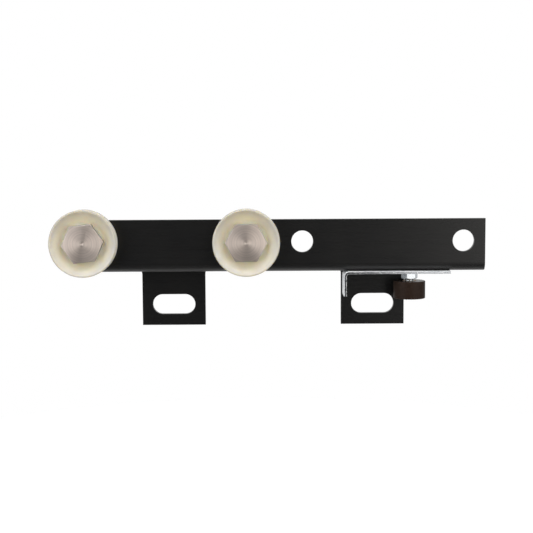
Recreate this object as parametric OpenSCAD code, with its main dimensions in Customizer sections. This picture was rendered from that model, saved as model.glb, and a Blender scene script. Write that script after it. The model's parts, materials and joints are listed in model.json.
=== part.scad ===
// Roller hanger for a sliding door. A folded steel carrier runs on two nylon rollers along a rail,
// and the door panel hangs from the two slotted tabs. A small driver roller on an L bracket takes
// the coupling that pulls the door.
// Frame: +X along the carrier, +Y towards the door panel, +Z up. The origin lies midway between
// the two slots, in the back face of the tabs.

/* [Carrier] */
// Length of the carrier
carrier_len = 329; // [320:1:400]
// How far the carrier's middle lies to the right of the middle between the tabs
carrier_shift = 0.8; // [-4:0.1:4]
// Height of the upright face
face_h = 41; // [40:1:60]
// Thickness of the carrier's sheet
sheet_t = 4; // [3:0.5:5]
// Depth from the front face to the back of the tabs
carrier_depth = 28; // [28:1:40]
// Inside radius of the carrier's bends
bend_r = 2.5; // [1:0.5:3]

/* [Axle holes] */
// How much wider than an axle's thread its hole is
hole_clearance = 1; // [0.5:0.1:1.5]
// Height of the axle holes above the underside of the flange
hole_h = 23.7; // [22:0.1:29]
// Distance between the outer pair of holes
outer_pitch = 295; // [220:1:300]
// Distance between the inner pair of holes
inner_pitch = 43.5; // [30:0.5:70]

/* [Hanging tabs] */
// Width of a tab
tab_w = 50.4; // [45:0.1:70]
// Distance between the middles of the tabs
tab_pitch = 159; // [130:1:200]
// How far a tab reaches below the flange
tab_drop = 44.8; // [42:0.1:60]
// Radius where a tab joins the flange
tab_root_r = 6; // [2:0.5:8]
// Length of a slot, end to end
slot_l = 34; // [20:1:40]
// Width of a slot
slot_w = 16; // [9:0.5:20]
// Distance from the underside of the flange to the middle of a slot
slot_drop = 28; // [24:0.5:32]

/* [Rollers] */
// Outside diameter of a roller
roller_d = 52; // [48:1:70]
// Width of a roller across its two rims
roller_w = 12.5; // [12:0.5:16]
// Gap between a roller's back rim and the carrier
roller_gap = 2.5; // [2:0.5:5]
// Radius of the rail groove
groove_r = 4.5; // [3:0.1:5]
// Width of the flat land on the front rim, inside its chamfer
rim_land = 0.4; // [0.2:0.1:2]
// Gap between the hexagon's corners and the cone that dishes the front face
dish_gap = 0.1; // [0.1:0.05:0.5]
// Chamfer on the rims
rim_chamfer = 0.8; // [0.3:0.1:1.2]
// Thickness of the lip that holds the bearing
lip_t = 1; // [0.8:0.1:1.5]
// How far the lip covers the bearing's outer race
lip_cover = 1.6; // [0.8:0.1:2]
// Wall of the hub around the bearing at the back
hub_wall = 3; // [2:0.5:4]

/* [Ball bearing] */
// Bore of the bearing
bearing_bore = 17; // [16:0.5:18]
// Outside diameter of the bearing
bearing_d = 30; // [29:0.5:36]
// Width of the bearing
bearing_w = 7; // [7:0.5:8.5]
// Depth of the raceway in each race
raceway_depth = 0.3; // [0.2:0.05:0.4]
// Diameter of a ball
ball_d = 3.5; // [3:0.1:4.2]
// Number of balls
ball_count = 13; // [7:1:14]

/* [Axles] */
// Size across the flats of the hexagon head
hex_af = 28.5; // [26:0.5:34]
// How far the hexagon's face stands out past the roller's rim
hex_proud = 0.3; // [0:0.1:3]
// How much smaller than the bearing's bore the thread is
thread_step = 1; // [0.5:0.1:2]
// Pitch of the thread
thread_pitch = 2; // [1.5:0.5:2]
// Thickness of the spacer between the bearing and the carrier
spacer_t = 1.5; // [1:0.1:2.5]
// Size across the flats of the nut
nut_af = 24; // [22:0.5:27]
// Height of the nut
nut_h = 13; // [8:0.5:14]
// Outside diameter of the plain washer
washer_d = 30; // [26:0.5:32]
// Thickness of the plain washer
washer_t = 3; // [1.5:0.5:3]
// Thickness of the spring washer
spring_washer_t = 3.5; // [2:0.5:4]
// Length of thread that shows past the nut
thread_show = 2; // [1:0.5:4]

/* [Driver bracket] */
// Thickness of the bracket's sheet
bracket_t = 2; // [1.5:0.5:3]
// Length of the bracket's upper leg
bracket_len = 83.2; // [70:0.1:100]
// How far the upright leg reaches below the flange
bracket_drop = 19.6; // [15:0.1:30]
// How far the bracket stands out in front of the carrier
bracket_proud = 2; // [0:0.5:4]
// Gap between the bracket's back edge and the bend of the tab behind it
bracket_gap = 0.5; // [0.5:0.1:4]
// Distance from the middle of the carrier to the bracket's upright leg
bracket_x = 55.1; // [52:0.1:70]
// Inside radius of the bracket's bend
bracket_bend_r = 2; // [1:0.5:3]
// Diameter of the screw that stops the bracket turning
screw_d = 6; // [5:1:6]
// Distance from the upright leg to that screw
screw_inset = 17.4; // [14:0.1:20]

/* [Driver roller] */
// Outside diameter of the driver roller
driver_d = 25; // [20:0.5:30]
// Height of the driver roller
driver_h = 13.7; // [10:0.1:20]
// Distance from the upright leg to the driver roller's axis
driver_inset = 52.2; // [45:0.1:63]
// Gap between the driver roller and the tab behind it
driver_gap = 2; // [1:0.5:4]
// Diameter of the stud's thread
stud_d = 8; // [7:0.5:9.5]
// How much smaller than the thread the stud's journal is
journal_step = 1; // [0.5:0.1:2]
// Size across the flats of the lock nut
lock_nut_af = 11.5; // [11:0.5:14]
// Height of the lock nut
lock_nut_h = 4.8; // [4:0.1:6]
// Length of stud that shows between the lock nut and the driver roller
stud_show = 1.7; // [1:0.1:4]
// Wall of the bush
bush_wall = 2; // [1:0.5:3]

/* [Hidden] */
$fn = 96;

// Clearances, and how far a cut runs past what it cuts
running_gap = 0.05;
thread_gap = 0.05;
ball_gap = 0.07;
washer_gap = 0.15;
collar_gap = 0.2;
shield_gap = 0.25;
screw_clearance = 0.6;
stud_clearance = 0.5;
cut = 1;

// Colours
paint_black = [0.11, 0.11, 0.11];
zinc = [0.72, 0.74, 0.76];
turned_steel = [0.74, 0.69, 0.66];
plain_steel = [0.6, 0.6, 0.62];
nylon = [0.86, 0.84, 0.74];
driver_brown = [0.19, 0.15, 0.13];
bronze = [0.6, 0.45, 0.25];

// Places of the carrier, measured from the origin
face_y = -carrier_depth;
under_z = slot_drop;
top_z = under_z + face_h;
hole_z = under_z + hole_h;
outer_bend_r = bend_r + sheet_t;
end_x = carrier_shift - outer_pitch / 2;
mid_x = carrier_shift - inner_pitch / 2;

// Sizes that follow from others
thread_d = bearing_bore - thread_step;
hole_d = thread_d + hole_clearance;
journal_d = stud_d - journal_step;
race_t = (bearing_d - bearing_bore) / 4 - ball_d / 2 + raceway_depth;
bracket_w = carrier_depth + bracket_proud - sheet_t - bend_r - bracket_gap;

// Threads, as shares of their pitch, and hexagons
thread_depth = 0.61;
thread_crest = 0.12;
stud_pitch = 1.25;
screw_pitch = 1;
corner_bevel = 0.25;
end_axle_turn = 6;
lock_nut_turn = 7;

// Split washers
spring_washer_band = 5.25;
screw_washer_band = 2.1;
split_lean = 25;

// Along an axle: height above the carrier's front face, towards the front
head_gap = 0.6;
rim_front = roller_gap + roller_w;
bearing_front = spacer_t + bearing_w;
lip_front = bearing_front + lip_t;
hex_back = lip_front + head_gap;
hex_front = rim_front + hex_proud;
nut_front = -sheet_t - washer_t - spring_washer_t;
thread_end = nut_front - nut_h - thread_show;
shoulder = spacer_t + 0.1;

// Across the bearing
bearing_r = bearing_d / 2;
bore_r = bearing_bore / 2;
ball_r = ball_d / 2;
inner_land_r = bore_r + race_t;
outer_land_r = bearing_r - race_t;
pitch_r = (inner_land_r + outer_land_r) / 2;
bearing_mid = spacer_t + bearing_w / 2;
shield_t = 0.4;
shield_inset = 0.3;
cage_t = 1.2;
cage_web = 0.55;

// The driver roller, with its heights measured down from the flange
driver_x = bracket_x + driver_inset;
driver_y = -sheet_t - driver_gap - driver_d / 2;
screw_x = bracket_x + screw_inset;
screw_y = face_y / 2;
screw_head_h = 4;
screw_head_af = screw_d * 5 / 3;
screw_washer_t = 1.6;
journal_top = -bracket_t - lock_nut_h - stud_show;
driver_bottom = journal_top - driver_h;
end_washer_t = 0.8;
clip_t = 0.7;
groove_depth = 0.8;
tip_bevel = 0.8;
pocket_h = 2.4;
bush_bottom = driver_bottom + pocket_h;
clip_top = bush_bottom - end_washer_t - 3 * running_gap;
tip_show = 1.5;
stud_tip = driver_bottom - tip_show;
bush_r = journal_d / 2 + bush_wall;
pocket_wall = 1.5;
pocket_r = bush_r + pocket_wall;
driver_edge = 0.5;
clip_opening = 4.4;

// Shapes that repeat

// Children drawn about their own +Z axis turn to point to the front, at an axle's place
module on_axle(x) {
    translate([x, face_y, hole_z]) rotate([90, 0, 0]) children();
}

// Children drawn about their own +Z axis stand on the driver roller's axis, at the flange's underside
module on_driver() {
    translate([driver_x, driver_y, under_z]) children();
}

// A ring between two radii and two heights
module ring(inner_r, outer_r, low, high) {
    rotate_extrude() translate([inner_r, low]) square([outer_r - inner_r, high - low]);
}

// A rod with the rings of a thread, from one height to another
module threaded_rod(d, pitch, low, high) {
    crest_r = d / 2;
    root_r = crest_r - thread_depth * pitch;
    turns = floor((high - low) / pitch);
    span = (high - low) / turns;
    crest = thread_crest / 2;
    rotate_extrude() polygon(concat(
        [[0, low], [root_r, low]],
        [for (i = [0:turns - 1]) each [
            [crest_r, low + (i + 0.5 - crest) * span],
            [crest_r, low + (i + 0.5 + crest) * span],
            [root_r, low + (i + 1) * span]]],
        [[0, high]]));
}

// A hexagon prism whose corners are turned back by a 30 degree bevel at each end
module hexagon(af, low, high, low_bevel, high_bevel) {
    corner_r = af / sqrt(3);
    low_r = corner_r - low_bevel;
    high_r = corner_r - high_bevel;
    intersection() {
        translate([0, 0, low]) cylinder(r = corner_r, h = high - low, $fn = 6);
        rotate_extrude() polygon([[0, low], [low_r, low], [corner_r, low + low_bevel * tan(30)],
            [corner_r, high - high_bevel * tan(30)], [high_r, high], [0, high]]);
    }
}

// The bevel that turns a hexagon's corners back to just inside its flats
function full_bevel(af) = af / sqrt(3) - af / 2 + corner_bevel;

// A hexagon nut with both faces bevelled
module hexagon_nut(af, bore_d, low, high) {
    bevel = full_bevel(af);
    difference() {
        hexagon(af, low, high, bevel, bevel);
        translate([0, 0, low - cut]) cylinder(d = bore_d, h = high - low + 2 * cut);
    }
}

// A split spring washer
module split_washer(inner_r, outer_r, low, high) {
    difference() {
        ring(inner_r, outer_r, low, high);
        translate([outer_r / 2, 0, (low + high) / 2]) rotate([split_lean, 0, 0])
            cube([outer_r + cut, (high - low) / 3, 3 * (high - low)], center = true);
    }
}

// A sheet's bend, seen along it: a quarter ring in the lower left corner
module quarter_bend(inner_r, sheet) {
    outer_r = inner_r + sheet;
    intersection() {
        difference() {
            circle(r = outer_r);
            circle(r = inner_r);
        }
        translate([-outer_r, -outer_r]) square(outer_r);
    }
}

// An outline in Y and Z, drawn out along X about the middle
module along_x(length) {
    translate([-length / 2, 0, 0]) rotate([90, 0, 90]) linear_extrude(length) children();
}

// An outline in X and Z, drawn out along Y from one place to another
module along_y(from, to) {
    translate([0, to, 0]) rotate([90, 0, 0]) linear_extrude(to - from) children();
}

// Carrier

module carrier_section() {
    translate([face_y, under_z + outer_bend_r]) square([sheet_t, face_h - outer_bend_r]);
    translate([face_y + outer_bend_r, under_z])
        square([carrier_depth - 2 * outer_bend_r, sheet_t]);
    translate([face_y + outer_bend_r, under_z + outer_bend_r]) quarter_bend(bend_r, sheet_t);
}

module tab_section() {
    bend_z = under_z + sheet_t - outer_bend_r;
    translate([-sheet_t, under_z - tab_drop]) square([sheet_t, bend_z - under_z + tab_drop]);
    translate([-outer_bend_r, bend_z]) rotate(180) quarter_bend(bend_r, sheet_t);
}

// The tab's outline from the front, with its root widening into the flange
module tab_outline() {
    root_z = under_z - sheet_t;
    wide = tab_w + 2 * tab_root_r;
    translate([-tab_w / 2, under_z - tab_drop]) square([tab_w, tab_drop + sheet_t]);
    difference() {
        translate([-wide / 2, root_z]) square([wide, 2 * sheet_t]);
        for (side = [-1, 1])
            translate([side * wide / 2, root_z]) circle(r = tab_root_r);
    }
}

module slot_outline() {
    straight = slot_l - slot_w;
    square([straight, slot_w], center = true);
    for (side = [-1, 1]) translate([side * straight / 2, 0]) circle(d = slot_w);
}

module hanging_tab() {
    intersection() {
        along_x(tab_w + 2 * tab_root_r) tab_section();
        along_y(-outer_bend_r - cut, cut) tab_outline();
    }
}

module carrier_plate() {
    color(paint_black) difference() {
        union() {
            translate([carrier_shift, 0, 0]) along_x(carrier_len) carrier_section();
            for (side = [-1, 1]) translate([side * tab_pitch / 2, 0, 0]) hanging_tab();
        }
        for (side = [-1, 1], pitch = [outer_pitch, inner_pitch])
            translate([carrier_shift + side * pitch / 2, 0, hole_z])
                along_y(face_y - cut, face_y + sheet_t + cut) circle(d = hole_d);
        for (side = [-1, 1])
            translate([side * tab_pitch / 2, 0, 0]) along_y(-sheet_t - cut, cut) slot_outline();
        translate([driver_x, driver_y, under_z - cut])
            cylinder(d = stud_d + 2 * thread_gap, h = sheet_t + 2 * cut);
        translate([screw_x, screw_y, under_z - cut])
            cylinder(d = screw_d + screw_clearance, h = sheet_t + 2 * cut);
    }
}

// Driver bracket and the screw that stops it turning

module bracket_outline() {
    bend = bracket_bend_r + bracket_t;
    translate([bend, -bracket_t]) square([bracket_len - bend, bracket_t]);
    translate([0, -bracket_drop]) square([bracket_t, bracket_drop - bend]);
    translate([bend, -bend]) rotate(-90) quarter_bend(bracket_bend_r, bracket_t);
}

module driver_bracket() {
    front_y = face_y - bracket_proud;
    color(zinc) difference() {
        translate([bracket_x, 0, under_z])
            along_y(front_y, front_y + bracket_w) bracket_outline();
        on_driver() translate([0, 0, -bracket_t - cut])
            cylinder(d = stud_d + stud_clearance, h = bracket_t + 2 * cut);
        translate([screw_x, screw_y, under_z - bracket_t - cut])
            cylinder(d = screw_d + 2 * thread_gap, h = bracket_t + 2 * cut);
    }
}

module bracket_screw() {
    head_low = under_z + sheet_t + screw_washer_t;
    color(plain_steel) translate([screw_x, screw_y, 0]) {
        hexagon(screw_head_af, head_low, head_low + screw_head_h, corner_bevel,
            full_bevel(screw_head_af));
        threaded_rod(screw_d, screw_pitch, under_z - bracket_t, head_low);
    }
}

module bracket_screw_washer() {
    low = under_z + sheet_t;
    inner_r = screw_d / 2 + washer_gap;
    color(plain_steel) translate([screw_x, screw_y, 0])
        split_washer(inner_r, inner_r + screw_washer_band, low, low + screw_washer_t);
}

// Axle and its fasteners

module axle() {
    collar_r = inner_land_r - collar_gap;
    color(turned_steel) {
        hexagon(hex_af, hex_back, hex_front, corner_bevel, corner_bevel);
        translate([0, 0, bearing_front]) cylinder(r = collar_r, h = hex_back - bearing_front);
        translate([0, 0, shoulder]) cylinder(r = bore_r, h = bearing_front - shoulder);
        threaded_rod(thread_d, thread_pitch, thread_end, shoulder);
    }
}

module spacer() {
    color(plain_steel) ring(thread_d / 2 + washer_gap, inner_land_r, 0, spacer_t);
}

module plain_washer() {
    color(plain_steel) ring(hole_d / 2, washer_d / 2, -sheet_t - washer_t, -sheet_t);
}

module spring_washer() {
    inner_r = thread_d / 2 + washer_gap;
    color(plain_steel) split_washer(inner_r, inner_r + spring_washer_band,
        nut_front, nut_front + spring_washer_t);
}

module axle_nut() {
    color(plain_steel) hexagon_nut(nut_af, thread_d + 2 * thread_gap, nut_front - nut_h, nut_front);
}

// Nylon roller

// Half of the roller's section, with its radius along X and its axis along Y
module tyre_section() {
    rim_r = roller_d / 2;
    rim_back = roller_gap;
    hub_r = bearing_r + hub_wall;
    lip_r = bearing_r - lip_cover;
    land_r = rim_r - rim_chamfer - rim_land;
    dish_foot_r = hex_af / sqrt(3) + dish_gap;
    difference() {
        polygon([[lip_r, lip_front], [lip_r, bearing_front], [bearing_r, bearing_front],
            [bearing_r, spacer_t], [hub_r, spacer_t], [hub_r, rim_back],
            [rim_r - rim_chamfer, rim_back], [rim_r, rim_back + rim_chamfer],
            [rim_r, rim_front - rim_chamfer], [rim_r - rim_chamfer, rim_front],
            [land_r, rim_front], [dish_foot_r, lip_front]]);
        translate([rim_r, (rim_back + rim_front) / 2]) circle(r = groove_r);
    }
}

module tyre() {
    color(nylon) rotate_extrude() tyre_section();
}

// Ball bearing

module raceway() {
    translate([pitch_r, bearing_mid]) circle(r = ball_r + ball_gap);
}

module inner_race() {
    color(plain_steel) rotate_extrude() difference() {
        translate([bore_r, spacer_t]) square([race_t, bearing_w]);
        raceway();
    }
}

module outer_race() {
    color(plain_steel) rotate_extrude() difference() {
        translate([outer_land_r, spacer_t]) square([race_t, bearing_w]);
        raceway();
    }
}

module at_balls() {
    for (i = [0:ball_count - 1])
        rotate(i * 360 / ball_count) translate([pitch_r, 0, bearing_mid]) children();
}

module balls() {
    color(plain_steel) at_balls() sphere(r = ball_r, $fn = 32);
}

module cage() {
    half_w = ball_r + cage_web;
    half_t = cage_t / 2;
    color(bronze) difference() {
        ring(pitch_r - half_t, pitch_r + half_t, bearing_mid - half_w, bearing_mid + half_w);
        at_balls() rotate([0, 90, 0]) cylinder(r = ball_r + ball_gap, h = 2 * cage_t, center = true);
    }
}

module shield(low) {
    color(zinc) ring(inner_land_r + shield_gap, outer_land_r, low, low + shield_t);
}

module front_shield() {
    shield(bearing_front - shield_inset - shield_t);
}

module back_shield() {
    shield(spacer_t + shield_inset);
}

// Driver roller

module driver_stud() {
    journal_r = journal_d / 2;
    clip_r = journal_r - groove_depth;
    tip_r = journal_r - tip_bevel;
    color(zinc) on_driver() {
        threaded_rod(stud_d, stud_pitch, journal_top, sheet_t);
        rotate_extrude() polygon([[0, journal_top], [journal_r, journal_top],
            [journal_r, clip_top], [clip_r, clip_top], [clip_r, clip_top - clip_t],
            [journal_r, clip_top - clip_t], [journal_r, stud_tip + tip_bevel],
            [tip_r, stud_tip], [0, stud_tip]]);
    }
}

module driver_lock_nut() {
    color(zinc) on_driver() rotate(lock_nut_turn)
        hexagon_nut(lock_nut_af, stud_d + 2 * thread_gap, -bracket_t - lock_nut_h, -bracket_t);
}

module driver_roller() {
    outer_r = driver_d / 2;
    face_r = outer_r - driver_edge;
    color(driver_brown) on_driver() rotate_extrude() polygon([
        [bush_r, journal_top], [face_r, journal_top], [outer_r, journal_top - driver_edge],
        [outer_r, driver_bottom + driver_edge], [face_r, driver_bottom],
        [pocket_r, driver_bottom], [pocket_r, bush_bottom], [bush_r, bush_bottom]]);
}

module driver_bush() {
    color(bronze) on_driver()
        ring(journal_d / 2 + running_gap, bush_r, bush_bottom, journal_top - running_gap);
}

module driver_end_washer() {
    low = bush_bottom - end_washer_t - running_gap;
    color(plain_steel) on_driver()
        ring(journal_d / 2 + running_gap, bush_r, low, low + end_washer_t);
}

// An open retaining ring in the stud's groove
module driver_clip() {
    inner_r = journal_d / 2 - groove_depth + running_gap;
    color(plain_steel) on_driver() difference() {
        ring(inner_r, bush_r - washer_gap, clip_top - clip_t, clip_top);
        translate([0, -bush_r, clip_top - clip_t / 2])
            cube([clip_opening, 2 * bush_r, 2 * clip_t], center = true);
    }
}

carrier_plate();
driver_bracket();
bracket_screw();
bracket_screw_washer();
on_axle(end_x) rotate(end_axle_turn) axle();  // end_axle
on_axle(end_x) spacer();  // end_spacer
on_axle(end_x) plain_washer();  // end_plain_washer
on_axle(end_x) spring_washer();  // end_spring_washer
on_axle(end_x) axle_nut();  // end_nut
on_axle(end_x) tyre();  // end_tyre
on_axle(end_x) inner_race();  // end_inner_race
on_axle(end_x) outer_race();  // end_outer_race
on_axle(end_x) balls();  // end_balls
on_axle(end_x) cage();  // end_cage
on_axle(end_x) front_shield();  // end_front_shield
on_axle(end_x) back_shield();  // end_back_shield
on_axle(mid_x) axle();  // mid_axle
on_axle(mid_x) spacer();  // mid_spacer
on_axle(mid_x) plain_washer();  // mid_plain_washer
on_axle(mid_x) spring_washer();  // mid_spring_washer
on_axle(mid_x) axle_nut();  // mid_nut
on_axle(mid_x) tyre();  // mid_tyre
on_axle(mid_x) inner_race();  // mid_inner_race
on_axle(mid_x) outer_race();  // mid_outer_race
on_axle(mid_x) balls();  // mid_balls
on_axle(mid_x) cage();  // mid_cage
on_axle(mid_x) front_shield();  // mid_front_shield
on_axle(mid_x) back_shield();  // mid_back_shield
driver_stud();
driver_lock_nut();
driver_roller();
driver_bush();
driver_end_washer();
driver_clip();
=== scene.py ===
"""Looks of the sliding door roller hanger: materials, fine geometry, light and camera.

Everything is in metres in the part's own frame: +X along the carrier, +Y to the back, +Z up.
"""

import json
import math

import bmesh
import bpy
from mathutils import Matrix, Vector


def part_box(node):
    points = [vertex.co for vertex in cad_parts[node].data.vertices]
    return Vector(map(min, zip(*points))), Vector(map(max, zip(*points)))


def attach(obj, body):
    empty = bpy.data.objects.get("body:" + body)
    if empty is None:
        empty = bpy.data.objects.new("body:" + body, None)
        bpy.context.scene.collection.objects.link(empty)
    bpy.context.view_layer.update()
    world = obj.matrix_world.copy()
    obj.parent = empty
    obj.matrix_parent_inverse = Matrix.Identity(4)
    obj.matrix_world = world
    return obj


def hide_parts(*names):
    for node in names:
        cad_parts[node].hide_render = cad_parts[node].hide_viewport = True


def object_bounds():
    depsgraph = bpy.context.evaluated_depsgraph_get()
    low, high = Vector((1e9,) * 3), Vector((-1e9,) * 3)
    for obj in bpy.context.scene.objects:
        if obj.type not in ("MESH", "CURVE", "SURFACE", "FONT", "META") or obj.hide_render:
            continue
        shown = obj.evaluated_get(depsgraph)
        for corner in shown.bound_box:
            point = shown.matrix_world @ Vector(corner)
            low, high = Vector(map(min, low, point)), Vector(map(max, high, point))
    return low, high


MM = 0.001

# Sizes in millimetres that the CAD boxes don't give
ROLLER_W = 12.5
RIM_CHAMFER = 0.8
RIM_ROUNDING = 0.5
GROOVE_R = 4.5
LAND_W = 1.2
DISH_DEPTH = 5.5
DISH_GAP = 0.1
DISH_BLEND_R = 5
BEARING_R = 15
BEARING_BACK = 1.5
BEARING_FRONT = 8.5
HUB_WALL = 3
LIP_BORE_R = 13.4
HEX_AF = 28.5
COLLAR_R = 10.1
COLLAR_TOP = 10.1
JOURNAL_R = 8.5
AXLE_THREAD = (16, 2)
STUD_THREAD = (8, 1.25)
STUD_JOURNAL_R = 3.5
CLIP_GROOVE_R = 2.7
DRIVER_BORE_R = 5.5
DRIVER_POCKET_R = 7
DRIVER_POCKET_H = 2.4
DRIVER_ROUNDING = 0.5
BRACKET_BEND_R = 4.0
BRACKET_SHEET = 2.0

# Strength of the world's light in front of the part and behind it
WORLD_FRONT = 0.1
WORLD_BACK = 0.65

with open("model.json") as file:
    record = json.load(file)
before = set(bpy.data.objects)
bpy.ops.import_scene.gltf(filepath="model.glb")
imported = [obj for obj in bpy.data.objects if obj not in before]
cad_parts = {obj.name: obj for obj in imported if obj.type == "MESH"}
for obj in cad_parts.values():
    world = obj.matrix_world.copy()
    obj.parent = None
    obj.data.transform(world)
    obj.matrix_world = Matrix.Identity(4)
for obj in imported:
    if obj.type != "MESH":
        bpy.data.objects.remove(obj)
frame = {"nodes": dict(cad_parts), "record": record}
cad_low, cad_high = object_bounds()
nodes = frame["nodes"]

FACE_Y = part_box("carrier_plate")[0].y
HOLE_Z = (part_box("end_nut")[0].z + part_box("end_nut")[1].z) / 2


def middle(node):
    """The middle of a CAD node's box."""
    low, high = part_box(node)
    return (low + high) / 2


# Geometry, drawn in millimetres about a piece's own +Z axis and then put in place


def on_axle(x):
    """An axle's place: +Z points to the front, and 0 is the carrier's front face."""
    turn = Matrix.Rotation(math.radians(90), 4, "X")
    return Matrix.Translation((x, FACE_Y, HOLE_Z)) @ turn @ Matrix.Scale(MM, 4)


def on_driver():
    """The driver roller's place: +Z points up, and 0 is the top of its bracket."""
    centre = middle("driver_roller")
    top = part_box("driver_bracket")[1].z
    return Matrix.Translation((centre.x, centre.y, top)) @ Matrix.Scale(MM, 4)


def arc(centre, radius, start, end, steps):
    """Points on an arc between two angles in degrees."""
    points = []
    for i in range(steps + 1):
        angle = math.radians(start + (end - start) * i / steps)
        points.append((centre[0] + radius * math.cos(angle), centre[1] + radius * math.sin(angle)))
    return points


def sheet_between(rows, closed):
    """Faces between rows of vertices that each go once around."""
    faces = []
    around = len(rows[0])
    pairs = list(zip(rows, rows[1:] + rows[:1])) if closed else list(zip(rows, rows[1:]))
    for low, high in pairs:
        for i in range(around):
            j = (i + 1) % around
            faces.append((low[i], low[j], high[j], high[i]))
    return faces


class Shape:
    """Vertices and faces that grow piece by piece and become one object."""

    def __init__(self):
        self.points = []
        self.faces = []

    def ring(self, outline, height):
        """Adds a ring of vertices at a height and returns their numbers."""
        first = len(self.points)
        self.points += [(x, y, height) for x, y in outline]
        return list(range(first, len(self.points)))

    def turned(self, section, steps=180):
        """A closed section of radius and height, turned once around."""
        rows = [self.ring(circle(radius, steps), height) for radius, height in section]
        self.faces += sheet_between(rows, True)

    def stacked(self, rings):
        """Rings of one outline each, from the bottom up, with both ends closed."""
        rows = [self.ring(outline, height) for outline, height in rings]
        self.faces += sheet_between(rows, False)
        self.faces.append(tuple(reversed(rows[0])))
        self.faces.append(tuple(rows[-1]))

    def finished(self, name, place, node):
        """The object, standing for a CAD node and moving with its body."""
        mesh = bpy.data.meshes.new(name)
        mesh.from_pydata(self.points, [], self.faces)
        mesh.transform(place)
        tidy = bmesh.new()
        tidy.from_mesh(mesh)
        bmesh.ops.recalc_face_normals(tidy, faces=tidy.faces)
        tidy.to_mesh(mesh)
        tidy.free()
        for face in mesh.polygons:
            face.use_smooth = True
        mesh.set_sharp_from_angle(angle=math.radians(24))
        made = bpy.data.objects.new(name, mesh)
        bpy.context.scene.collection.objects.link(made)
        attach(made, body_of(node))
        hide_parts(node)
        return made


def circle(radius, steps):
    """A circle as an outline."""
    angles = [2 * math.pi * i / steps for i in range(steps)]
    return [(radius * math.cos(a), radius * math.sin(a)) for a in angles]


def hexagon(across_flats, round_by, turn=0.0, steps=4):
    """A hexagon as an outline, with its corners rounded."""
    inset = (across_flats / 2 - round_by) / math.cos(math.radians(30))
    outline = []
    for corner in range(6):
        middle_angle = turn + 60 * corner
        at = math.radians(middle_angle)
        centre = (inset * math.cos(at), inset * math.sin(at))
        outline += arc(centre, round_by, middle_angle - 30, middle_angle + 30, steps)
    return outline


def hexagon_head(shape, across_flats, low, high, turn, edge=0.3, corner=0.35):
    """A hexagon head with its edges broken and a rounded rim on its outer face."""
    rings = []
    for part in range(5):
        angle = math.radians(90 * part / 4)
        inset = edge * (1 - math.sin(angle))
        rings.append((2 * inset, low + edge * (1 - math.cos(angle))))
    for part in range(5):
        angle = math.radians(90 * part / 4)
        inset = edge * (1 - math.cos(angle))
        rings.append((2 * inset, high - edge * (1 - math.sin(angle))))
    shape.stacked([(hexagon(across_flats - less, corner, turn), height) for less, height in rings])


def threaded_rod(shape, diameter, pitch, low, high, steps=60):
    """A rod with a real helical thread that runs out at both ends."""
    depth = 0.61 * pitch
    tip_chamfer = 0.3
    rows_per_turn = 10
    crest_width = 1.2
    rows = round((high - low) / pitch * rows_per_turn)
    rings = [(circle(diameter / 2 - depth - tip_chamfer, steps), low)]
    for row in range(rows + 1):
        height = low + (high - low) * row / rows
        fade = min(1.0, (height - low) / pitch, (high - height) / pitch)
        outline = []
        for i in range(steps):
            phase = (height / pitch - i / steps) % 1.0
            rise = min(1.0, crest_width * (1 - abs(2 * phase - 1))) * fade
            angle = 2 * math.pi * i / steps
            radius = diameter / 2 - depth * (1 - rise)
            outline.append((radius * math.cos(angle), radius * math.sin(angle)))
        rings.append((outline, height))
    rings[1] = (rings[1][0], low + 0.2)
    shape.stacked(rings)


def body_of(node):
    """The CAD body that a node belongs to."""
    for body, members in frame["record"]["behaviour"]["bodies"].items():
        if node in members:
            return body
    raise ValueError(node)


def build_tyre(which):
    """A nylon roller: a round dish in front, a rail groove and a hub around the bearing."""
    low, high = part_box(which + "_tyre")
    centre = middle(which + "_tyre")
    rim = (high.x - low.x) / 2 / MM
    front = (FACE_Y - low.y) / MM
    back = front - ROLLER_W
    mid = (front + back) / 2
    land = rim - LAND_W
    foot = HEX_AF / math.sqrt(3) + DISH_GAP
    floor = front - DISH_DEPTH
    hub = BEARING_R + HUB_WALL
    slope = math.degrees(math.atan2(front - floor, land - foot))
    blend = math.tan(math.radians(slope / 2))
    section = [
        (LIP_BORE_R, BEARING_FRONT + 0.1),
        (LIP_BORE_R + 0.1, BEARING_FRONT),
        (BEARING_R - 0.1, BEARING_FRONT),
        (BEARING_R, BEARING_FRONT - 0.1),
        (BEARING_R, BEARING_BACK + 0.2),
        (BEARING_R + 0.2, BEARING_BACK),
    ]
    section += arc((hub - 0.3, BEARING_BACK + 0.3), 0.3, -90, 0, 4) + [(hub, back)]
    section += arc((rim - RIM_CHAMFER, back + RIM_CHAMFER), RIM_CHAMFER, -90, 0, 8)
    section += arc((rim, mid), GROOVE_R, 270, 90, 28)[1:-1]
    section += arc((rim - RIM_ROUNDING, front - RIM_ROUNDING), RIM_ROUNDING, 0, 90, 6)
    section += arc((land + LAND_W * blend, front - LAND_W), LAND_W, 90, 90 + slope, 6)
    dish_corner = (foot - DISH_BLEND_R * blend, floor + DISH_BLEND_R)
    section += arc(dish_corner, DISH_BLEND_R, slope - 90, -90, 10)
    section += [(LIP_BORE_R + 0.2, floor), (LIP_BORE_R, floor - 0.2)]
    shape = Shape()
    shape.turned(section)
    return shape.finished(which + "_tyre_looks", on_axle(centre.x), which + "_tyre")


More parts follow.
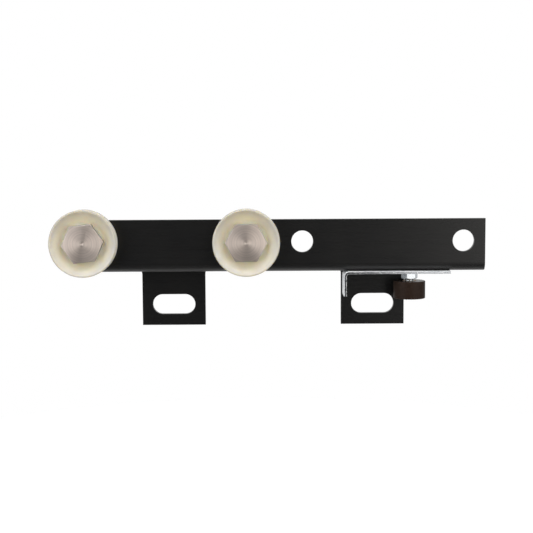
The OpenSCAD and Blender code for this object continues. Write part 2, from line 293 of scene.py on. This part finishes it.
def build_axle(which, turn):
    """A hexagon-headed axle with a journal for the bearing and a helical thread."""
    low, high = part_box(which + "_axle")
    centre = middle(which + "_axle")
    front = (FACE_Y - low.y) / MM
    tip = (FACE_Y - high.y) / MM
    shape = Shape()
    hexagon_head(shape, HEX_AF, COLLAR_TOP, front, turn)
    collar = [(COLLAR_R, BEARING_FRONT), (COLLAR_R, COLLAR_TOP)]
    journal_back = BEARING_BACK + 0.1
    journal = [
        (JOURNAL_R - 0.2, journal_back),
        (JOURNAL_R, journal_back + 0.2),
        (JOURNAL_R, BEARING_FRONT),
    ]
    for section in (collar, journal):
        shape.stacked([(circle(radius, 96), height) for radius, height in section])
    threaded_rod(shape, *AXLE_THREAD, tip, journal_back)
    return shape.finished(which + "_axle_looks", on_axle(centre.x), which + "_axle")


def build_driver_roller():
    """The small dark roller, with rounded edges, fine turning steps and a pocket below."""
    low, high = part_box("driver_roller")
    top = (high.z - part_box("driver_bracket")[1].z) / MM
    bottom = (low.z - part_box("driver_bracket")[1].z) / MM
    outer = (high.x - low.x) / 2 / MM
    inset = outer - DRIVER_ROUNDING
    section = [(DRIVER_BORE_R, top - 0.2), (DRIVER_BORE_R + 0.2, top)]
    section += arc((inset, top - DRIVER_ROUNDING), DRIVER_ROUNDING, 90, 0, 6)
    section += arc((inset, bottom + DRIVER_ROUNDING), DRIVER_ROUNDING, 0, -90, 6)
    section += [
        (DRIVER_POCKET_R + 0.2, bottom),
        (DRIVER_POCKET_R, bottom + 0.2),
        (DRIVER_POCKET_R, bottom + DRIVER_POCKET_H),
        (DRIVER_BORE_R, bottom + DRIVER_POCKET_H),
    ]
    shape = Shape()
    shape.turned(section)
    return shape.finished("driver_roller_looks", on_driver(), "driver_roller")


def build_driver_stud():
    """The stud: a helical thread above, a smooth journal and a rounded tip below."""
    low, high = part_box("driver_stud")
    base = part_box("driver_bracket")[1].z
    top = (high.z - base) / MM
    tip = (low.z - base) / MM
    journal_top = (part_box("driver_roller")[1].z - base) / MM
    clip_low = (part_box("driver_clip")[0].z - base) / MM
    clip_high = (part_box("driver_clip")[1].z - base) / MM
    shape = Shape()
    threaded_rod(shape, *STUD_THREAD, journal_top, top, 48)
    wide = STUD_JOURNAL_R
    narrow = CLIP_GROOVE_R
    journal = [(wide - 0.8, tip), (wide - 0.5, tip + 0.1), (wide - 0.1, tip + 0.5)]
    journal += [(wide, tip + 0.8), (wide, clip_low), (narrow, clip_low)]
    journal += [(narrow, clip_high), (wide, clip_high), (wide, journal_top)]
    shape.stacked([(circle(radius, 72), height) for radius, height in journal])
    return shape.finished("driver_stud_looks", on_driver(), "driver_stud")


# Material graphs


class Graph:
    """A material with a Principled shader, and short calls that add nodes to it."""

    def __init__(self, name, **settings):
        self.material = bpy.data.materials.new(name)
        self.material.use_nodes = True
        self.tree = self.material.node_tree
        self.shader = self.tree.nodes["Principled BSDF"]
        for socket, value in settings.items():
            self.shader.inputs[socket.replace("_", " ")].default_value = value

    def feed(self, socket, value):
        """Links an output to a socket, or sets the socket's own value."""
        if isinstance(value, bpy.types.NodeSocket):
            self.tree.links.new(value, socket)
        else:
            socket.default_value = value

    def add(self, kind, properties=None, **inputs):
        """Adds a node, sets its properties and feeds its inputs by name."""
        made = self.tree.nodes.new(kind)
        for name, value in (properties or {}).items():
            setattr(made, name, value)
        for name, value in inputs.items():
            self.feed(made.inputs[name.replace("_", " ")], value)
        return made

    def math(self, operation, first, second=0.0):
        """One step of arithmetic."""
        made = self.add("ShaderNodeMath", {"operation": operation})
        self.feed(made.inputs[0], first)
        self.feed(made.inputs[1], second)
        return made.outputs[0]

    def place(self, stretch=(1, 1, 1)):
        """Object coordinates in millimetres, stretched."""
        where = self.add("ShaderNodeTexCoord").outputs["Object"]
        mapping = self.add("ShaderNodeMapping", Vector=where)
        mapping.inputs["Scale"].default_value = [s / MM for s in stretch]
        return mapping.outputs[0]

    def noise(self, scale, detail, roughness, vector=None):
        """Noise whose features are about 1 / scale millimetres across."""
        made = self.add(
            "ShaderNodeTexNoise",
            Vector=vector if vector is not None else self.place(),
            Scale=scale,
            Detail=detail,
            Roughness=roughness,
        )
        return made.outputs[0]

    def span(self, value, low, high, out_low=0.0, out_high=1.0):
        """Maps one range of values onto another, clamped."""
        made = self.add("ShaderNodeMapRange", {"clamp": True}, Value=value)
        for name, number in (
            ("From Min", low),
            ("From Max", high),
            ("To Min", out_low),
            ("To Max", out_high),
        ):
            self.feed(made.inputs[name], number)
        return made.outputs[0]

    def mix(self, share, first, second):
        """Mixes two colours, each a tuple or a socket."""
        made = self.add("ShaderNodeMix", {"data_type": "RGBA"})
        self.feed(made.inputs[0], share)
        for socket, colour in ((made.inputs[6], first), (made.inputs[7], second)):
            self.feed(socket, (*colour, 1) if isinstance(colour, tuple) else colour)
        return made.outputs[2]

    def bump(self, height, distance_mm, strength, normal):
        """Bump of a real height, on top of another normal."""
        made = self.add(
            "ShaderNodeBump",
            Height=height,
            Distance=distance_mm * MM,
            Strength=strength,
            Normal=normal,
        )
        return made.outputs[0]

    def round_edges(self, radius_mm):
        """A normal that rounds sharp edges over, and a mask of where it does."""
        bevel = self.add("ShaderNodeBevel", {"samples": 6}, Radius=radius_mm * MM)
        flat = self.add("ShaderNodeNewGeometry").outputs["Normal"]
        dot = self.add("ShaderNodeVectorMath", {"operation": "DOT_PRODUCT"})
        self.feed(dot.inputs[0], bevel.outputs[0])
        self.feed(dot.inputs[1], flat)
        edge = self.span(dot.outputs["Value"], 0.995, 0.8)
        return bevel.outputs[0], edge

    def normal_part(self, axis):
        """One component of the surface's normal, named X, Y or Z."""
        geometry = self.add("ShaderNodeNewGeometry").outputs["True Normal"]
        return self.add("ShaderNodeSeparateXYZ", Vector=geometry).outputs[axis]

    def facing(self, axis):
        """How squarely the surface faces along an axis, from 0 to 1, either way."""
        return self.math("ABSOLUTE", self.normal_part(axis))

    def outward(self, centre, axis):
        """The way out, in millimetres, from a line through a point along an axis."""
        where = self.add("ShaderNodeTexCoord").outputs["Object"]
        offset = self.add("ShaderNodeVectorMath", {"operation": "SUBTRACT"})
        self.feed(offset.inputs[0], where)
        offset.inputs[1].default_value = centre
        flat = self.add("ShaderNodeVectorMath", {"operation": "MULTIPLY"})
        self.feed(flat.inputs[0], offset.outputs[0])
        flat.inputs[1].default_value = [0 if i == axis else 1 / MM for i in range(3)]
        return flat.outputs[0]

    def radius(self, centre, axis):
        """Distance in millimetres from a line through a point along an axis."""
        length = self.add("ShaderNodeVectorMath", {"operation": "LENGTH"})
        self.feed(length.inputs[0], self.outward(centre, axis))
        return length.outputs["Value"]

    def wavy(self, distance, scale, detail, size_mm):
        """A place that changes only with a distance, which wanders a little."""
        wander = self.math("MULTIPLY", self.noise(scale, detail, 0.5), size_mm)
        made = self.add("ShaderNodeCombineXYZ", X=self.math("ADD", distance, wander))
        return made.outputs[0]

    def colour(self, value):
        """Feeds the shader's base colour."""
        self.feed(self.shader.inputs["Base Color"], value)

    def rough(self, value):
        """Feeds the shader's roughness."""
        self.feed(self.shader.inputs["Roughness"], value)

    def normal(self, value):
        """Feeds the shader's normal."""
        self.feed(self.shader.inputs["Normal"], value)


def black_enamel():
    """Satin black paint on sheet steel: faint orange peel, dull patches, thin bright edges."""
    g = Graph("black_enamel", IOR=1.48)
    rounded, edge = g.round_edges(0.45)
    peel = g.noise(0.55, 2.0, 0.5)
    grain = g.noise(6.0, 2.0, 0.5)
    patches = g.noise(0.035, 4.0, 0.6)
    base = g.mix(g.span(patches, 0.35, 0.65), (0.0042, 0.0042, 0.0044), (0.0062, 0.0061, 0.0060))
    worn = g.math("MULTIPLY", edge, g.span(g.noise(0.9, 4.0, 0.7), 0.45, 0.75, 0.0, 0.5))
    g.colour(g.mix(worn, base, (0.055, 0.05, 0.046)))
    streaks = g.noise(0.5, 4.0, 0.6, g.place((0.04, 1, 0.5)))
    satin = g.span(streaks, 0.3, 0.75, 0.27, 0.30)
    facing_down = g.span(g.normal_part("Z"), -0.1, -0.4, 0.0, 0.25)
    satin = g.math("ADD", satin, facing_down)
    g.rough(g.math("ADD", satin, g.span(grain, 0.3, 0.7, -0.015, 0.02)))
    height = g.math("ADD", g.math("MULTIPLY", peel, 0.7), g.math("MULTIPLY", grain, 0.08))
    g.normal(g.bump(height, 0.03, 0.6, rounded))
    return g.material


def zinc_sheet(corner, outer_bend_mm, sheet_mm):
    """Bright zinc plate: smooth faces, and sheared edges burnished outside and torn inside."""
    g = Graph("zinc_sheet", Metallic=0.35)
    rounded, _ = g.round_edges(0.6)
    edge_face = g.span(g.facing(1), 0.4, 0.6)
    where = g.add("ShaderNodeSeparateXYZ", Vector=g.place())
    right = g.math("SUBTRACT", where.outputs["X"], corner.x / MM)
    down = g.math("SUBTRACT", corner.z / MM, where.outputs["Z"])
    inside = [
        g.math("MAXIMUM", g.math("SUBTRACT", outer_bend_mm, way), 0.0) for way in (right, down)
    ]
    squares = g.math("ADD", g.math("POWER", inside[0], 2.0), g.math("POWER", inside[1], 2.0))
    depth = g.math("SUBTRACT", outer_bend_mm, g.math("SQRT", squares))
    ragged = g.math("ADD", depth, g.span(g.noise(0.7, 4.0, 0.7), 0.3, 0.7, -0.3, 0.3))
    torn_zone = g.math(
        "MULTIPLY",
        g.span(ragged, 0.45, 0.65),
        g.span(ragged, sheet_mm - 0.15, sheet_mm - 0.35),
    )
    torn_zone = g.math("MULTIPLY", torn_zone, edge_face)
    speckle = g.noise(0.85, 5.0, 0.85, g.place((0.7, 1, 1)))
    grain = g.noise(4.0, 3.0, 0.7)
    bloom = g.noise(0.12, 4.0, 0.6)
    pits = g.mix(g.span(right, 15.0, 65.0), (0.03, 0.032, 0.036), (0.55, 0.57, 0.6))
    raised = g.math("ADD", speckle, g.span(right, 2.0, 30.0, -0.05, 0.0))
    torn = g.mix(g.span(raised, 0.55, 0.6), pits, (0.97, 0.98, 1.0))
    smooth = g.mix(g.span(bloom, 0.35, 0.65), (0.76, 0.79, 0.82), (0.9, 0.91, 0.92))
    burnished = g.mix(g.span(bloom, 0.35, 0.65), (0.55, 0.57, 0.6), (0.8, 0.82, 0.84))
    g.colour(g.mix(torn_zone, g.mix(edge_face, smooth, burnished), torn))
    satin = g.math("ADD", g.span(bloom, 0.3, 0.7, 0.2, 0.32), g.math("MULTIPLY", grain, 0.1))
    g.rough(g.math("ADD", satin, g.math("MULTIPLY", torn_zone, 0.2)))
    strength = g.span(torn_zone, 0, 1, 0.1, 1.0)
    g.normal(g.bump(g.math("ADD", speckle, grain), 0.3, strength, rounded))
    return g.material


def plated_steel(name, tint, rough):
    """Zinc-plated fastener: soft clouding, fine drawn texture and rounded edges."""
    g = Graph(name, Metallic=1.0)
    rounded, edge = g.round_edges(0.25)
    cloud = g.noise(0.5, 4.0, 0.6)
    dark = tuple(c * 0.72 for c in tint)
    bright = tuple(min(1.0, c * 1.25) for c in tint)
    g.colour(g.mix(edge, g.mix(g.span(cloud, 0.3, 0.7), dark, tint), bright))
    fine = g.noise(4.0, 4.0, 0.6)
    g.rough(g.span(cloud, 0.3, 0.7, rough - 0.06, rough + 0.08))
    g.normal(g.bump(fine, 0.02, 0.5, rounded))
    return g.material


def turned_steel(name, centre):
    """Steel faced on a lathe: rings about the axle, and a sheen that spreads across them."""
    g = Graph(name, Metallic=1.0, Anisotropic=0.7)
    rounded, edge = g.round_edges(0.3)
    face = g.span(g.facing(1), 0.9, 0.99)
    distance = g.radius(centre, 1)
    ring_place = g.wavy(distance, 0.25, 3.0, 0.35)
    rings = g.noise(2.2, 3.0, 0.8, ring_place)
    broad = g.noise(0.75, 2.0, 0.6, ring_place)
    dull = (0.68, 0.59, 0.53)
    tone = g.mix(g.span(rings, 0.25, 0.75), dull, (0.9, 0.785, 0.71))
    tone = g.mix(g.span(broad, 0.4, 0.6), tone, dull)
    side = g.noise(1.5, 4.0, 0.6, g.place((1, 0.05, 1)))
    bar = g.mix(g.span(side, 0.3, 0.7), (0.33, 0.3, 0.28), (0.5, 0.46, 0.43))
    g.colour(g.mix(edge, g.mix(face, bar, tone), (0.8, 0.73, 0.68)))
    g.rough(g.math("ADD", 0.41, g.span(rings, 0.3, 0.7, -0.05, 0.06)))
    pip = g.span(distance, 0.0, 1.1, 0.0, 6.0)
    height = g.math("ADD", pip, g.math("ADD", rings, g.math("MULTIPLY", broad, 2.0)))
    g.normal(g.bump(height, 0.04, 0.8, rounded))
    g.feed(g.shader.inputs["Tangent"], g.outward(centre, 1))
    return g.material


def natural_nylon(name, centre, outer_mm):
    """Natural nylon: milky at the rim; painted light makes it lighter and yellower towards the
    bearing, a painted glow through the nylon that also lifts the shaded dish; painted shade darkens
    the rim's outer edge and the rounded edges.
    """
    g = Graph(
        name,
        IOR=1.42,
        Subsurface_Weight=0.75,
        Subsurface_Radius=(1.0, 0.8, 0.45),
        Subsurface_Scale=5 * MM,
    )
    rounded, edge = g.round_edges(0.35)
    distance = g.radius(centre, 1)
    # Painted light: the lighter, yellower colour towards the bearing stands for light glowing
    # through the nylon and fills the shade in the dish around the hexagon
    share = g.span(distance, outer_mm * 0.56, outer_mm * 0.9)
    cloud = g.noise(0.16, 3.0, 0.5)
    painted_glow_tone = g.mix(g.span(cloud, 0.35, 0.65), (0.95, 0.87, 0.61), (0.98, 0.905, 0.67))
    outer = g.mix(g.span(cloud, 0.35, 0.65), (0.55, 0.533, 0.495), (0.59, 0.573, 0.535))
    # Painted shade: a darker ring over the outermost 0.9 mm of the rim
    rim = g.span(distance, outer_mm - 0.9, outer_mm - 0.3)
    body = g.mix(rim, g.mix(share, painted_glow_tone, outer), (0.435, 0.42, 0.395))
    # Painted shade: the rounded edges are darkened to damp their highlight
    g.colour(g.mix(edge, body, (0.46, 0.43, 0.37)))
    rings = g.noise(2.2, 3.0, 0.7, g.wavy(distance, 0.2, 2.0, 0.2))
    g.rough(g.span(rings, 0.3, 0.7, 0.3, 0.42))
    g.normal(g.bump(rings, 0.03, 0.5, rounded))
    return g.material


def brown_phenolic():
    """Dark brown moulded roller with fine turning marks and a soft satin shine."""
    g = Graph("brown_phenolic", IOR=1.18)
    rounded, edge = g.round_edges(0.4)
    mottle = g.noise(0.7, 5.0, 0.65)
    base = g.mix(g.span(mottle, 0.3, 0.7), (0.017, 0.0103, 0.0075), (0.028, 0.0165, 0.0115))
    g.colour(g.mix(g.math("MULTIPLY", edge, 0.6), base, (0.075, 0.045, 0.034)))
    turning = g.noise(2.5, 3.0, 0.6, g.place((0.05, 0.05, 1)))
    side = g.span(mottle, 0.3, 0.7, 0.42, 0.52)
    faced = g.span(g.facing(2), 0.9, 0.99)
    g.rough(g.math("SUBTRACT", side, g.math("MULTIPLY", faced, 0.28)))
    g.normal(g.bump(turning, 0.03, 0.7, rounded))
    return g.material


def warm_metal(name, tint, rough):
    """Brass and sintered bronze: warm metal with fine pores."""
    g = Graph(name, Metallic=1.0)
    rounded, _ = g.round_edges(0.15)
    pores = g.noise(6.0, 3.0, 0.6)
    g.colour(g.mix(g.span(pores, 0.3, 0.6), tuple(c * 0.6 for c in tint), tint))
    g.rough(g.span(pores, 0.3, 0.7, rough, rough + 0.1))
    g.normal(g.bump(pores, 0.02, 0.5, rounded))
    return g.material


def paint(material, *names):
    """Gives CAD nodes, or the pieces that stand for them, a material in every slot."""
    for name in names:
        target = looks.get(name, nodes[name])
        if not target.material_slots:
            target.data.materials.append(material)
        for each in target.material_slots:
            each.material = material


def paint_all():
    """Every piece gets its finish."""
    paint(black_enamel(), "carrier_plate")
    low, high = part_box("driver_bracket")
    corner = Vector((low.x, low.y, high.z))
    paint(zinc_sheet(corner, BRACKET_BEND_R, BRACKET_SHEET), "driver_bracket")
    bright = plated_steel("bright_zinc", (0.76, 0.8, 0.84), 0.24)
    plain = plated_steel("plain_zinc", (0.5, 0.51, 0.52), 0.34)
    ground = plated_steel("bearing_steel", (0.58, 0.58, 0.6), 0.2)
    brass = warm_metal("cage_brass", (0.7, 0.48, 0.2), 0.3)
    paint(bright, "driver_stud", "driver_lock_nut")
    paint(plain, "bracket_screw", "bracket_screw_washer", "driver_end_washer", "driver_clip")
    paint(brown_phenolic(), "driver_roller")
    paint(warm_metal("bush_bronze", (0.5, 0.33, 0.18), 0.42), "driver_bush")
    for which in ("end", "mid"):
        centre = middle(which + "_inner_race")
        low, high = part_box(which + "_tyre")
        outer_mm = (high.x - low.x) / 2 / MM
        paint(turned_steel(which + "_turned_steel", centre), which + "_axle")
        paint(natural_nylon(which + "_natural_nylon", centre, outer_mm), which + "_tyre")
        for piece in ("spacer", "plain_washer", "spring_washer", "nut"):
            paint(plain, which + "_" + piece)
        for piece in ("inner_race", "outer_race", "balls", "front_shield", "back_shield"):
            paint(ground, which + "_" + piece)
        paint(brass, which + "_cage")


# Stage, light and camera


def add_floor():
    """A plain pale round floor well below the part, white enough to meet the background."""
    below = 0.4
    radius = 0.85
    in_front = 0.07
    place = (0, radius - in_front, cad_low.z - below)
    bpy.ops.mesh.primitive_circle_add(
        vertices=128, radius=radius, fill_type="NGON", location=place
    )
    floor = bpy.context.object
    floor.name = "floor"
    g = Graph("pale_floor", Roughness=0.9, Emission_Color=(1, 1, 1, 1), Emission_Strength=0.6)
    grain = g.noise(0.02, 3.0, 0.5)
    g.colour(g.mix(grain, (0.88, 0.88, 0.88), (0.91, 0.91, 0.91)))
    floor.data.materials.append(g.material)


def add_area(name, place, target, size, power, colour=(1, 1, 1)):
    """A rectangular soft light that points at a target."""
    data = bpy.data.lights.new(name, "AREA")
    data.shape = "RECTANGLE"
    data.size, data.size_y = size
    data.energy = power
    data.color = colour
    lamp = bpy.data.objects.new(name, data)
    bpy.context.scene.collection.objects.link(lamp)
    lamp.location = place
    direction = Vector(target) - Vector(place)
    lamp.rotation_mode = "QUATERNION"
    lamp.rotation_quaternion = direction.to_track_quat("-Z", "Y")


def add_world():
    """White behind the part; its light on the part is weak from the front, stronger from behind."""
    world = bpy.data.worlds.new("studio")
    bpy.context.scene.world = world
    world.use_nodes = True
    tree = world.node_tree
    shown = tree.nodes["Background"]
    shown.inputs["Color"].default_value = (1, 1, 1, 1)
    shown.inputs["Strength"].default_value = 1.0
    lighting = tree.nodes.new("ShaderNodeBackground")
    lighting.inputs["Color"].default_value = (1, 1, 1, 1)
    direction = tree.nodes.new("ShaderNodeTexCoord")
    split = tree.nodes.new("ShaderNodeSeparateXYZ")
    tree.links.new(direction.outputs["Generated"], split.inputs[0])
    depth = tree.nodes.new("ShaderNodeMapRange")
    depth.inputs["From Min"].default_value = -0.3
    depth.inputs["From Max"].default_value = 0.8
    depth.inputs["To Min"].default_value = WORLD_FRONT
    depth.inputs["To Max"].default_value = WORLD_BACK
    tree.links.new(split.outputs["Y"], depth.inputs["Value"])
    tree.links.new(depth.outputs[0], lighting.inputs["Strength"])
    path = tree.nodes.new("ShaderNodeLightPath")
    mix = tree.nodes.new("ShaderNodeMixShader")
    tree.links.new(path.outputs["Is Camera Ray"], mix.inputs[0])
    tree.links.new(lighting.outputs[0], mix.inputs[1])
    tree.links.new(shown.outputs[0], mix.inputs[2])
    tree.links.new(mix.outputs[0], tree.nodes["World Output"].inputs[0])


def around(azimuth, distance, height):
    """A place round the part: azimuth in degrees from straight in front, positive to the right."""
    at = math.radians(azimuth)
    return (distance * math.sin(at), FACE_Y - distance * math.cos(at), height)


def add_lights():
    """Tall softboxes at the left and right, the right one a little warmer, and one above."""
    target = (0, FACE_Y, 0.03)
    warm = (1, 0.975, 0.94)
    add_area("left_box", around(-52, 1.1, 0.4), target, (1.15, 2.4), 14)
    add_area("right_box", around(46, 1.1, 0.4), target, (1.4, 2.4), 17, warm)
    add_area("top_box", (0, -0.3, 1.1), target, (1.4, 0.5), 9)


def add_camera():
    """The camera at the photographed angle: straight in front and a little above."""
    azimuth = math.radians(-0.26)
    elevation = math.radians(5.61)
    roll = math.radians(-0.303)
    distance = 0.95
    target = Vector((-0.00538, FACE_Y, 0.03221))
    field_of_view = math.radians(24.69)
    back = Vector(
        (
            math.sin(azimuth) * math.cos(elevation),
            -math.cos(azimuth) * math.cos(elevation),
            math.sin(elevation),
        )
    )
    data = bpy.data.cameras.new("camera")
    data.sensor_width = 36
    data.lens = data.sensor_width / 2 / math.tan(field_of_view / 2)
    data.clip_start = 0.05
    camera = bpy.data.objects.new("camera", data)
    bpy.context.scene.collection.objects.link(camera)
    level = back.cross(Vector((0, 0, -1))).normalized()
    up = back.cross(level)
    right = math.cos(roll) * level + math.sin(roll) * up
    up = back.cross(right)
    turn = Matrix((right, up, back)).transposed().to_4x4()
    camera.matrix_world = Matrix.Translation(target + distance * back) @ turn
    bpy.context.scene.camera = camera


looks = {}
for which, head_turn in (("end", 6.0), ("mid", 0.0)):
    looks[which + "_tyre"] = build_tyre(which)
    looks[which + "_axle"] = build_axle(which, head_turn)
looks["driver_roller"] = build_driver_roller()
looks["driver_stud"] = build_driver_stud()

paint_all()
add_floor()
add_world()
add_lights()
add_camera()
bpy.context.scene.view_settings.view_transform = "Standard"
